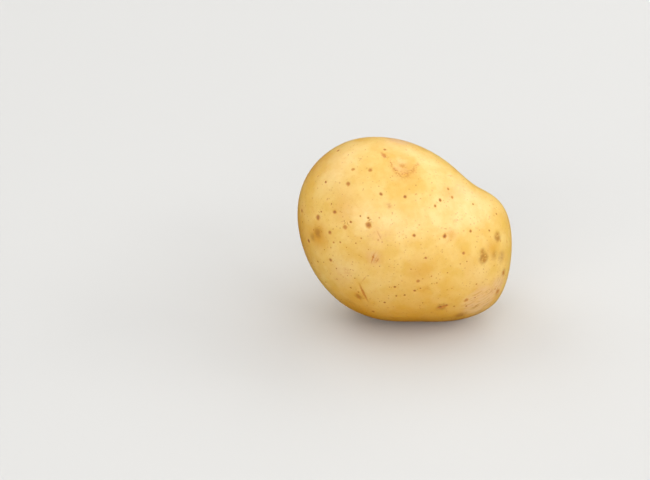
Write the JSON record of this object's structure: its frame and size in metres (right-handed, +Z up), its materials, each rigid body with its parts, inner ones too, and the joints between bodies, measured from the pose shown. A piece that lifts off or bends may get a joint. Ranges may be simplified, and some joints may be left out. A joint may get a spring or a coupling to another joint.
{
  "type": "potato",
  "caption": "Whole washed yellow potato: an oval, slightly saddle-backed tuber with shallow eyes, lying on a small flat spot.",
  "frame": {"origin": "on the resting surface, under the middle of the potato's bounding box", "axes": "+X towards the narrow end, -Y towards the front, +Z up from the flat spot that it rests on"},
  "size_m": [0.0874, 0.0656, 0.0758],
  "materials": {
    "potato_skin": "smooth washed yellow skin with a soft sheen, brown pores and small scuffs"
  },
  "bodies": {
    "root": {"potato": "potato_skin"}
  },
  "joints": []
}
